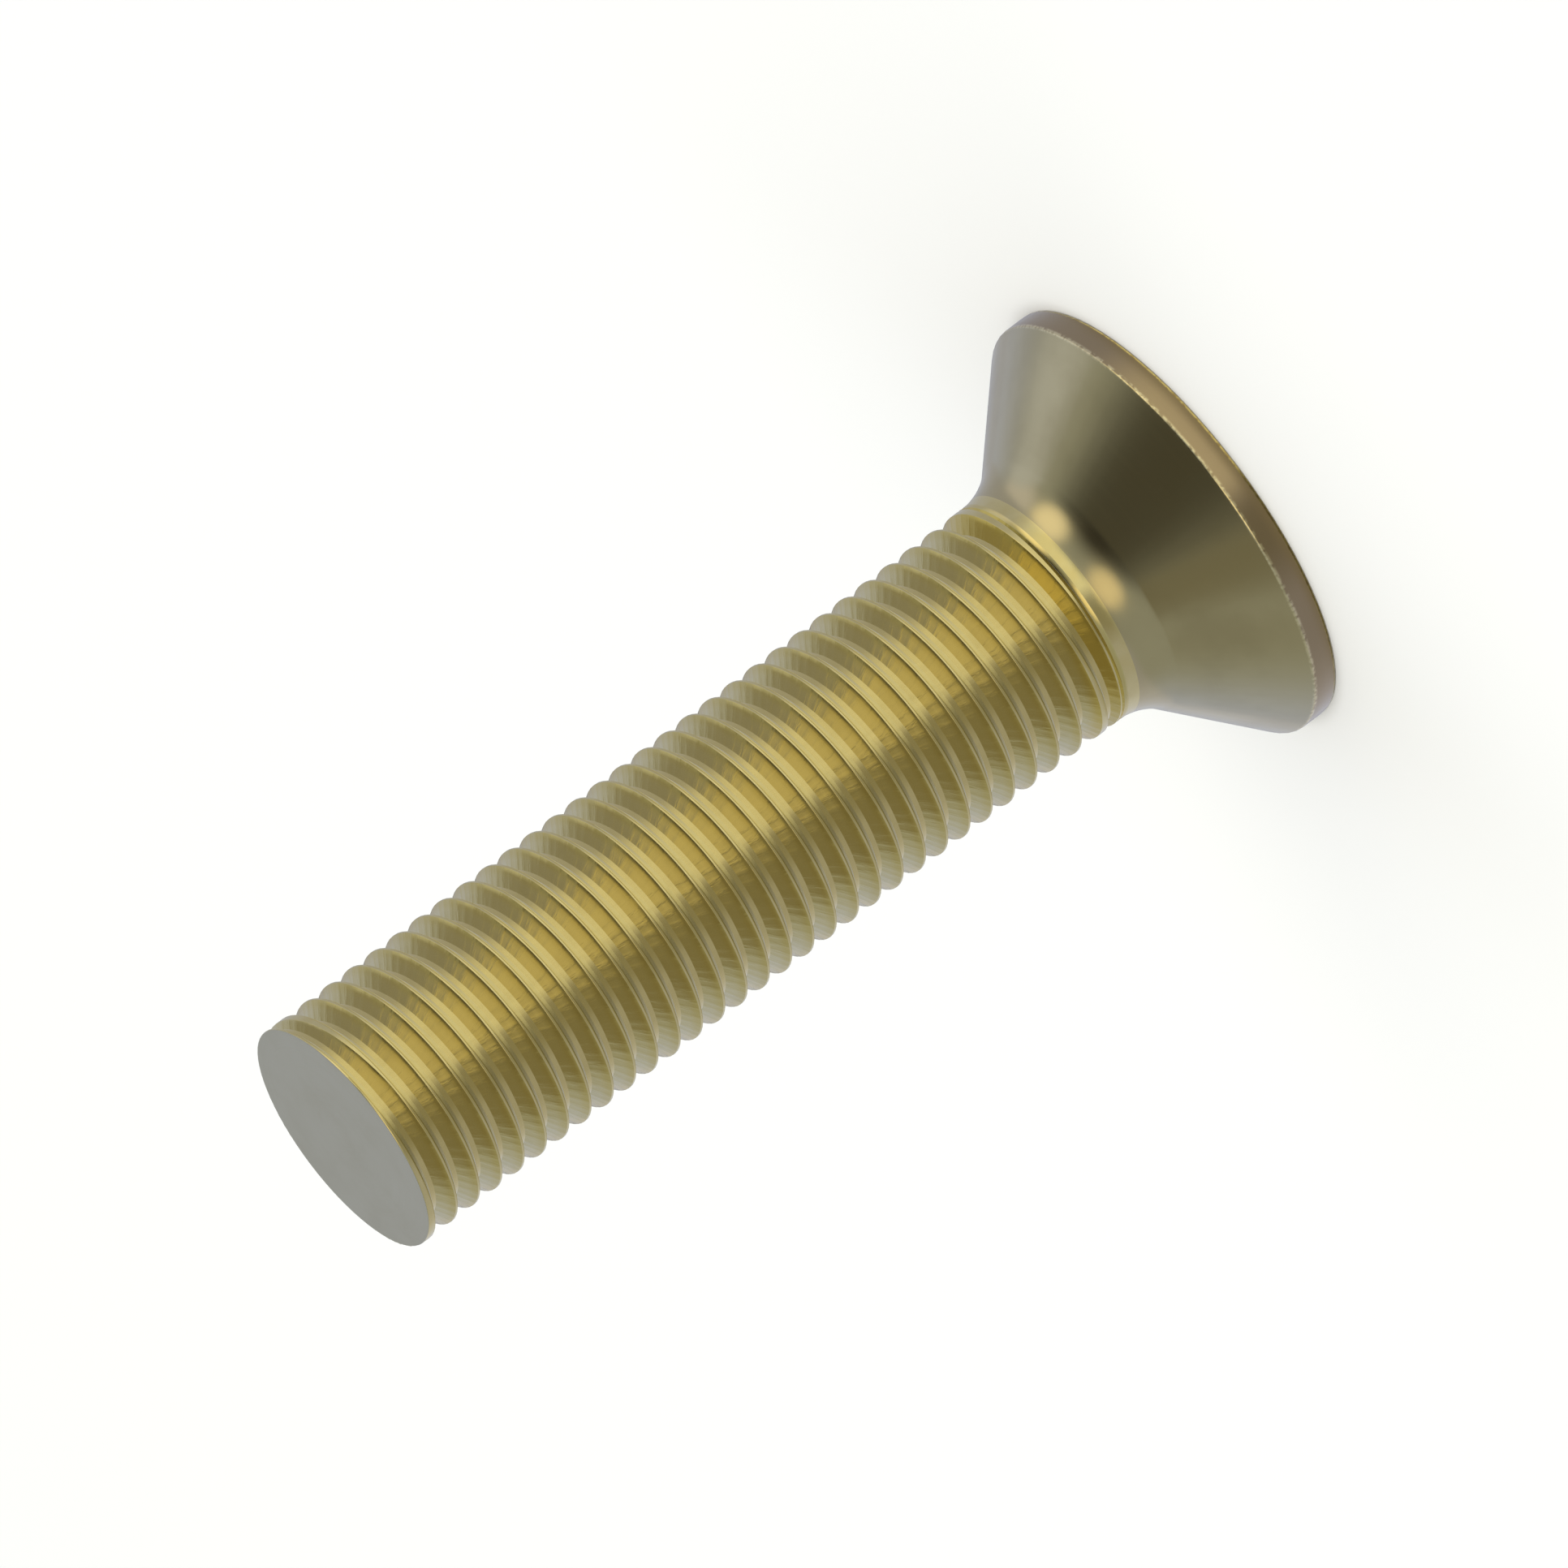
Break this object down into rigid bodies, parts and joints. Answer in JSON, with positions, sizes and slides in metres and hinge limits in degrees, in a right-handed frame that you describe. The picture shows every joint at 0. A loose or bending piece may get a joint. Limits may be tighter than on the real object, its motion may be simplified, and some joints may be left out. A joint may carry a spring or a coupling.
{
  "type": "countersunk screw",
  "caption": "Countersunk machine screw: conical head with a cross recess, filleted neck and a fully threaded shank with a flat end.",
  "frame": {"origin": "centre of the head's flat top face, on which the screw stands", "axes": "+Z along the screw's axis, from the head's top face to the flat end of the thread; +X and +Y along the wings of the cross recess"},
  "size_m": [0.0113, 0.0112, 0.025],
  "materials": {
    "brass": "satin"
  },
  "bodies": {
    "root": {"countersunk_screw": "brass"}
  },
  "joints": []
}
